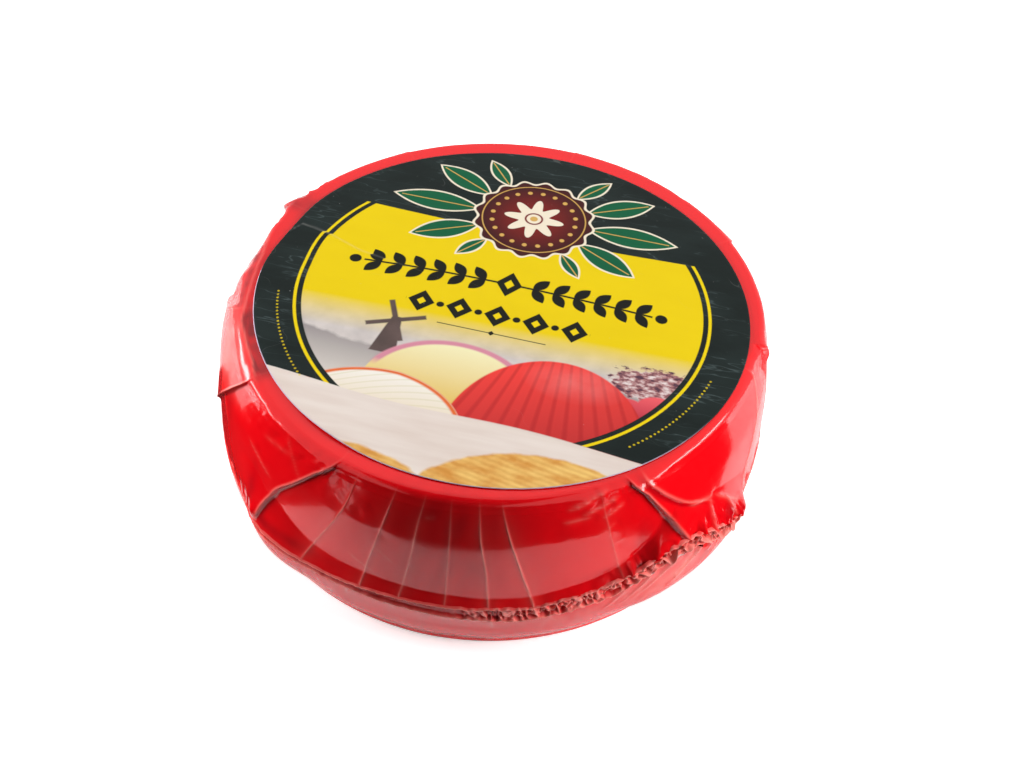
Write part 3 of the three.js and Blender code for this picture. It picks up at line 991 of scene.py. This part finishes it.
def landscape(place, x, y, colour):
    """The picture: a red flower hill, a cream one and a pale one before grey hills, with a windmill and fields.

    Here x grows towards the reader's left.
    """
    mottle = mottled(place, 0.12, 4.0)
    haze = faded(y + x * 0.03, -14, -31)
    colour = blend(haze, colour, blend(mottle, ink(232, 222, 216), ink(178, 170, 168)))
    grey_hills = y + 39 - Wire.maths("SINE", x * 0.11) * 2.2 - mottle * 5
    grey = blend(faded(y, -34, -58), ink(150, 142, 142), ink(214, 206, 198))
    colour = blend(inside(grey_hills, 1.5), colour, grey)

    twigs = mottled(place, 0.3, 3.0, (1, 1.7, 1))
    bushes = ellipse(place, -66, -30, 18, 9) + (twigs - 0.5) * 12
    lit_twigs = blend(faded(twigs, 0.48, 0.66), ink(168, 112, 112), ink(232, 218, 216))
    colour = blend(inside(bushes, 1.5), colour, blend(faded(twigs, 0.36, 0.5), ink(84, 56, 70), lit_twigs))
    colour = blend(inside(ellipse(place, -62, -48, 14, 8), 1.5), colour, ink(66, 50, 92))
    round_bushes = smallest(ellipse(place, -67, -41, 8, 6.5), ellipse(place, -56, -45, 8.5, 7))
    rosy = blend(faded(y, -50, -36), ink(168, 34, 58), ink(232, 92, 100))
    colour = blend(inside(round_bushes, 0.8), colour, rosy)

    reach_x, reach_y = (absolute(part) for part in parts(turned_about(place, 36, -23, -24)))
    sails = largest(smallest(reach_x, reach_y) - 1.1, largest(reach_x, reach_y) - 11.5)
    tower = largest(absolute(x - 36) - 2.2 + (y + 23) * 0.16, y + 21, -41 - y)
    colour = blend(inside(smallest(sails, tower), 0.6), colour, blend(mottle, ink(66, 56, 54), ink(112, 92, 88)))

    far_field = ellipse(place, 8, -55, 32, 27)
    cream = blend(faded(y, -30, -60), ink(244, 236, 190), ink(226, 190, 96))
    colour = blend(inside(far_field), colour, cream)
    colour = blend(stroke(far_field + 0.8, 2.2, 0.9) * inside(-46 - y, 4), colour, ink(214, 138, 158))

    rows = Wire.maths("SINE", Wire.maths("ARCTAN2", y - 24, x + 26) * 95)
    red_hill = ellipse(place, -31, -72, 37, 45)
    shine = ellipse(place, -36, -36, 15, 8)
    red = blend(faded(y + x * 0.25, -38, -86), ink(238, 66, 60), ink(176, 44, 46))
    red = blend(faded(rows, 0.2, 1.0) * 0.35, red, ink(150, 20, 30))
    red = blend(faded(shine, 3, -9) * 0.55 * mottle, red, ink(250, 170, 168))
    colour = blend(inside(red_hill, 0.6), colour, red)

    pale_hill = ellipse(place, 31, -76, 36, 27) + absolute(x - 27) * 0.05
    pale = blend(faded(y, -50, -66), ink(246, 240, 232), ink(236, 222, 200))
    rows = Wire.maths("SINE", y * 1.9 + x * x * 0.012)
    pale = blend(faded(rows, 0.5, 1.0) * 0.3, pale, ink(206, 196, 140))
    colour = blend(inside(pale_hill, 0.6), colour, pale)
    colour = blend(stroke(pale_hill + 0.7, 1.4, 0.8), colour, ink(226, 108, 52))

    foreground = y + 64 - x * 0.045 + Wire.maths("SINE", x * 0.06) * 1.2
    ground = blend(mottled(place, 0.06, 3.0, (0.35, 2.2, 1)), ink(246, 238, 230), ink(208, 184, 172))
    colour = blend(inside(foreground, 0.6), colour, ground)

    furrows = Wire.maths("SINE", y * 2.6 - x * 0.55 + mottle * 5)
    clods = mottled(place, 0.1, 4.0, (1, 1.6, 1))
    tilled = blend(faded(clods, 0.35, 0.65), ink(216, 150, 70), ink(242, 200, 116))
    tilled = blend(faded(furrows, -1, 1) * 0.3, tilled, ink(196, 126, 52))
    near_field = smallest(ellipse(place, -38, -116, 52, 42), ellipse(place, 34, -112, 38, 25))
    colour = blend(inside(near_field + (mottle - 0.5) * 3, 1.2), colour, tilled)
    return colour, smallest(foreground, near_field)


def ornaments(x, y, colour):
    """The row of leaves, the row of lozenges and the thin rule."""
    side = absolute(x)
    row_y = y - LEAF_ROW + x * x * 0.0006
    leaves = leaf(from_parts(repeated(side - 12, 8.2), absolute(row_y)), 0.2, 3.2, 52, 8.8, 4.6)[0]
    leaves = largest(leaves, side - 57, 7.8 - side)
    stem = largest(absolute(row_y) - 0.5, side - 57)
    middle = side + absolute(row_y) * 0.72 - 5.2
    berry = round_about(from_parts(side, row_y), 60.5, 0) - 2.4
    short_y = y - LOZENGE_ROW
    lozenges = absolute(repeated(x, 15)) + absolute(short_y) * 0.86 - 5.2
    dots = round_about(from_parts(repeated(x - 7.5, 15), short_y), 0, 0) - 1.5
    off_rule = absolute(y - RULE)
    rule = smallest(largest(off_rule - 0.22, side - 21), side + off_rule - 1.3)
    return printed(
        colour, (inside(smallest(leaves, stem, middle, berry)), BLACK), (inside(middle + 3.2), YELLOW),
        (inside(largest(smallest(lozenges, dots), side - 36)), BLACK),
        (inside(largest(lozenges + 3.4, side - 36)), YELLOW), (inside(rule), BLACK),
    )


# The medallion's leaves on its right: the middle of each from the label's middle, its tilt, length and width.
SPRAY = [
    (20.2, 77.9, 52, 20, 8), (20.2, 27.5, -52, 17, 7), (33.2, 69, 28, 30, 12), (33.2, 35, -28, 30, 12),
    (41, 52, 0, 38, 13),
]
MEDALLION_HEIGHT = 52
BEAD_RING = 17.2
BEADS = 20


def medallion(place, x, y, colour):
    """A scalloped dark red medallion with a rosette and a ring of beads, on five pairs of green leaves."""
    mirrored = from_parts(absolute(x), y)
    for away, lift, tilt, length, width in SPRAY:
        outline, rib = leaf(mirrored, away, lift, tilt, length, width)
        colour = printed(colour, (inside(outline), CREAM), (inside(outline + 0.9), GREEN), (inside(rib), GOLD))

    from_middle = round_about(place, 0, MEDALLION_HEIGHT)
    turn = Wire.maths("ARCTAN2", y - MEDALLION_HEIGHT, x)
    outline = from_middle - 24.5 - Wire.maths("COSINE", turn * 16) * 1.0
    core = blend(faded(from_middle, 20, 6), MAROON, WARM_MAROON)
    rosette = from_middle - 9.4 - Wire.maths("COSINE", turn * 8) * 3.0
    bead_x = repeated(turn * BEAD_RING, BEAD_RING * 2 * math.pi / BEADS)
    beads = round_about(from_parts(bead_x, from_middle - BEAD_RING), 0, 0) - 1.0
    return printed(
        colour, (inside(outline), CREAM), (inside(outline + 1.1), core), (stroke(from_middle - 21.2, 0.5), GOLD),
        (inside(rosette), CREAM), (stroke(from_middle - 3.4, 0.8), WARM_MAROON), (inside(from_middle - 1.6), GOLD),
        (inside(beads), GOLD),
    )


def label_print():
    """The print, the paper's edge and the wear of the label. Lengths are millimetres from the label's middle."""
    material = Wire.begin("label_print")
    object_place = Wire.node("ShaderNodeTexCoord", output=3)
    place = vector_maths("MULTIPLY_ADD", object_place, (1000, 1000, 0), (-LABEL_SHIFT, 0, 0))
    crease, shifted = noted("crease"), noted("shifted")
    place = vector_maths("MULTIPLY_ADD", from_parts(shifted, shifted), (1.4, 0.6, 0), place)
    x, y = parts(place)
    radius = vector_maths("LENGTH", place, output=1)

    soft = mottled(place, 0.03, 3.0, (1, 2.5, 1))
    worn = mottled(place, 0.5, 4.0)
    streaks = mottled(place, 0.05, 3.0, (0.5, 2.6, 1))
    colour = blend(faded(soft, 0.4, 0.75) * 0.4, DARK_GREEN, ink(42, 54, 53))
    streak = faded(absolute(streaks - 0.52), 0.012, 0.0) * faded(soft, 0.42, 0.6)
    colour = blend(streak * 0.5, colour, ink(84, 98, 98))
    above = y - YELLOW_TOP - x * x * 0.0004
    left = x * -1
    picture, foreground = landscape(from_parts(left, y), left, y, blend(soft, YELLOW, ink(230, 198, 4)))
    yellow_line = largest(absolute(radius - LINE_RADIUS) - 0.6, above)
    colour = printed(
        colour, (inside(largest(radius - PRINT_RADIUS, above)), picture), (inside(yellow_line), YELLOW),
        (inside(foreground), picture),
    )
    colour = medallion(place, x, y, ornaments(x, y, colour))

    around = Wire.maths("ARCTAN2", absolute(x) - 1, y * -1) * DOTS_RADIUS
    dots = round_about(from_parts(repeated(around, 1.9), radius - DOTS_RADIUS), 0, 0) - 0.42
    side_arcs = largest(dots, y + 20, -62 - y, 60 - absolute(x))
    colour = blend(inside(side_arcs) * 0.7, colour, YELLOW)

    thin = absolute(mottled(place, 0.02, 2.0, (1, 1.6, 1)) - 0.5) * 400
    scratched = inside(thin, 0.8) * faded(mottled(place, 0.05, 1.0), 0.52, 0.6)
    specks = faded(worn, 0.72, 0.76)
    colour = blend(largest(scratched * 0.22, specks * 0.3, crease * 0.16), colour, ink(190, 190, 186))
    edge_shows = faded(x * 0.5 + y, 5, -60)
    colour = blend(inside(LABEL_RADIUS - 0.25 - radius, 0.2) * edge_shows, colour, PAPER_EDGE)

    bump = Wire.node("ShaderNodeBump", {}, {"Strength": 0.2, "Distance": 0.0002, "Height": worn})
    shader = Wire.node("ShaderNodeBsdfPrincipled", {}, {
        "Base Color": colour,
        "Roughness": 0.42 + soft * 0.12,
        "Specular IOR Level": 0.2,
        "Normal": bump,
    })
    return finished(material, shader)


# The crease that runs onto the label from the ring, as points from the label's middle.
LABEL_CREASE = [(-94, 14.5), (-89.8, 20.6), (-83, 19.5), (-74.6, 17.2), (-61.5, 11.7), (-47, 9)]
LABEL_THICKNESS = 0.35


def label_sheet():
    """The paper label: a thin, slightly wavy disc with a crease near its left edge and a rim that lifts."""
    top, under = LABEL_UNDERSIDE + LABEL_THICKNESS, LABEL_UNDERSIDE
    profile = [(0, top), (30, top)] + [(ring, top) for ring in np.linspace(56, LABEL_RADIUS - 0.3, 45)]
    profile += [(LABEL_RADIUS, top - 0.1), (LABEL_RADIUS, under), (LABEL_RADIUS - 4, under), (0, under)]
    sheet = turned("printed_label", profile, 720)
    x, y, z = corners(sheet)
    past_line = y - from_table(LABEL_CREASE, x)
    fade = ease(x, -45, -62)
    crease = bell(past_line, 0.45) * fade
    z = z + np.where(z > under + 0.05, 0.3 * crease + 0.08 * ripple(x, y, np.zeros_like(x), 23, 31), 0)
    outer, azimuth = ease(np.hypot(x, y), 84, 95), np.degrees(np.arctan2(y, x))
    rim = outer * bell(turn_from(-117, azimuth), 9)
    pressed = 1 - 0.018 * outer * bell(turn_from(170, azimuth), 11)
    place_corners(sheet, x * pressed + LABEL_SHIFT, y * pressed, z + 0.5 * rim)
    note_on(sheet, "crease", crease)
    note_on(sheet, "shifted", fade * ease(past_line, 0.4, -0.4) * ease(past_line, -22, 0))
    return sheet


# ---- the studio

WORLD_LIGHT = 0.05
PANE_GLOW = 1.3
SHEET_GLOW = 0.55
STRIP_HEIGHT = 0.1
FLOOR_SIZE = 8

# The camera, in millimetres and degrees. The label's round outline fixes it.
LENS = 50
SENSOR_WIDTH = 36
CAMERA_DISTANCE = 540.1
CAMERA_ELEVATION = 41.79
CAMERA_TURN = 11.2
CAMERA_PITCH = -3.606
CAMERA_YAW = -0.31
CAMERA_ROLL = 4.131


def photo_camera():
    """The camera looks at the label's middle, and is then pitched, turned and rolled a little in the hand."""
    camera = bpy.data.objects.new("camera", bpy.data.cameras.new("camera"))
    bpy.context.collection.objects.link(camera)
    camera.data.lens = LENS
    camera.data.sensor_width = SENSOR_WIDTH
    camera.data.clip_start = 0.01
    angles = (CAMERA_TURN, 90 - CAMERA_ELEVATION, CAMERA_PITCH, CAMERA_YAW, CAMERA_ROLL)
    turn, lift, pitch, yaw, roll = (
        Matrix.Rotation(math.radians(angle), 4, axis) for angle, axis in zip(angles, "ZXXYZ")
    )
    place = turn @ lift @ Vector((0, 0, CAMERA_DISTANCE)) + Vector((LABEL_SHIFT, 0, WHEEL_HEIGHT))
    camera.matrix_world = Matrix.Translation(place * MM) @ turn @ lift @ pitch @ yaw @ roll
    bpy.context.scene.camera = camera


def hide_from(thing, *rays):
    """Keeps a thing of the studio from the camera, or from the diffuse, glossy or shadow rays."""
    for kind in rays:
        setattr(thing, f"visible_{kind}", False)


def soft_light(name, azimuth, elevation, distance, size, power):
    """A softbox that faces the middle of the wheel. The film's gloss doesn't see it."""
    lamp = bpy.data.lights.new(name, "AREA")
    lamp.shape = "RECTANGLE"
    lamp.size, lamp.size_y = size
    lamp.energy = power
    light = bpy.data.objects.new(name, lamp)
    bpy.context.collection.objects.link(light)
    turn, lift = math.radians(azimuth), math.radians(elevation)
    away = Vector((math.cos(turn) * math.cos(lift), math.sin(turn) * math.cos(lift), math.sin(lift)))
    light.location = away * distance + Vector((0, 0, 0.04))
    light.rotation_mode = "QUATERNION"
    light.rotation_quaternion = away.to_track_quat("Z", "Y")
    hide_from(light, "glossy")
    return light


def reflector(name, light, strength):
    """A pale strip in place of a softbox in the film's gloss, so that the highlights stay thin and soft."""
    strip = added(bpy.ops.mesh.primitive_plane_add, name, size=1, location=light.location)
    strip.rotation_mode = "QUATERNION"
    strip.rotation_quaternion = light.rotation_quaternion
    strip.scale = (light.data.size, STRIP_HEIGHT, 1)
    strip.data.materials.append(glowing(name, strength))
    hide_from(strip, "camera", "diffuse", "shadow")
    return strip


# The panes of the windows that show in the film: middle, width, height and turn about the upright.
PANES = [
    ((-117, -203, 41), 14, 22, 0), ((-99, -203, 41), 14, 22, 0), ((-117, -203, 71), 14, 26, 0),
    ((-99, -203, 71), 14, 26, 0), ((154, -150, 93), 50, 14, 90),
]


def window_panes():
    """Pale panes in front of the black cards, seen only in the film's gloss."""
    panes = []
    for middle, width, height, turn in PANES:
        upright = (math.pi / 2, 0, math.radians(turn))
        plane = bpy.ops.mesh.primitive_plane_add
        pane = added(plane, "window_pane", size=MM, location=Vector(middle) * MM, rotation=upright)
        pane.scale = (width, height, 1)
        pane.data.materials.append(glowing("window_pane", PANE_GLOW))
        hide_from(pane, "camera", "diffuse", "shadow")
        panes.append(pane)
    return panes


# Each card's outline. The side cards taper off towards the back.
CARDS = [
    [(-150, -204, 0), (155, -204, 0), (155, -204, 140), (-150, -204, 140)],
    [(-240, -204, 0.5), (-114, -204, 0.5), (-104, -60, 0.5), (-100, 6, 0.5), (-240, 6, 0.5)],
    [(150, -120, 0.5), (260, -120, 0.5), (260, -34, 0.5), (128, -34, 0.5)],
    [(-150, -213, 0), (-150, -15, 0), (-150, -15, 25), (-150, -60, 30), (-150, -100, 90), (-150, -213, 140)],
    [(155, -213, 0), (155, -12, 0), (155, -12, 80), (155, -213, 140)],
    [(-350, -1500, 800), (350, -1500, 800), (350, -130, 800), (-350, -130, 800)],
]


def black_cards():
    """Black cards that the camera doesn't see: in front, at both sides, flat on the floor and overhead.

    All of them show in the film's gloss. Those that stand on the floor keep stray light off the wheel too.
    """
    finish = plain_finish("black_card", 0.01, 1.0)
    cards = []
    for outline in CARDS:
        card = drawn_out("black_card", [Vector(corner) * MM for corner in outline])
        bpy.ops.mesh.select_all(action="SELECT")
        bpy.ops.mesh.edge_face_add()
        bpy.ops.object.mode_set(mode="OBJECT")
        card.data.materials.append(finish)
        hide_from(card, "camera", "shadow")
        card.visible_diffuse = outline[0][2] == 0
        cards.append(card)
    return cards


def pale_sheet():
    """A clear sheet just over the floor that glows a little, so that the floor looks as white as the backdrop."""
    sheet = added(bpy.ops.mesh.primitive_plane_add, "pale_sheet", size=FLOOR_SIZE, location=(0, 0, 0.2 * MM))
    sheet.data.materials.append(glowing("pale_sheet", SHEET_GLOW, clear=True))
    hide_from(sheet, "diffuse", "glossy", "shadow")
    return sheet


def sphere(name, segments, radius, glow):
    """A glowing sphere round the wheel, which casts no light on anything dull."""
    add_sphere = bpy.ops.mesh.primitive_uv_sphere_add
    ball = added(add_sphere, name, segments=segments, ring_count=segments // 2, radius=radius)
    ball.data.materials.append(glowing(name, glow))
    hide_from(ball, "diffuse", "shadow")
    return ball


def studio():
    """Plain soft light, a pale floor, and the dark and pale things that show in the film's gloss."""
    world = bpy.data.worlds.new("studio")
    bpy.context.scene.world = world
    world.use_nodes = True
    world.node_tree.nodes["Background"].inputs["Color"].default_value = (1, 1, 1, 1)
    world.node_tree.nodes["Background"].inputs["Strength"].default_value = WORLD_LIGHT
    bpy.context.scene.view_settings.view_transform = "Standard"
    left = soft_light("softbox_left", azimuth=-179.5, elevation=17, distance=1.0, size=(0.60, 0.34), power=15)
    right = soft_light("softbox_right", azimuth=3, elevation=18, distance=1.0, size=(0.56, 0.34), power=15)
    soft_light("softbox_back", azimuth=101, elevation=62, distance=1.2, size=(0.6, 0.6), power=5.2)
    strips = [reflector("strip_left", left, 14), reflector("strip_right", right, 13)]
    floor = added(bpy.ops.mesh.primitive_plane_add, "floor", size=FLOOR_SIZE)
    floor.data.materials.append(plain_finish("pale_floor", 0.9, 0.7))
    dome = sphere("pale_dome", segments=48, radius=4, glow=0.72)
    backdrop = sphere("white_backdrop", segments=96, radius=0.9, glow=1.0)
    hide_from(backdrop, "glossy")
    pale_sheet()
    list(window_panes())
    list(black_cards())


# ---- putting it together

photo_camera()
red_film = red_shrink_film()
film = [film_top(), film_base(), seam_band()] + [ruffle(**strip) for strip in RUFFLES]
for piece in film:
    piece.data.materials.append(red_film)
    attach(piece, "root")
    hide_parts("wrapped_wheel")
label = label_sheet()
label.data.materials.append(label_print())
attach(label, "root")
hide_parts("label")
studio()
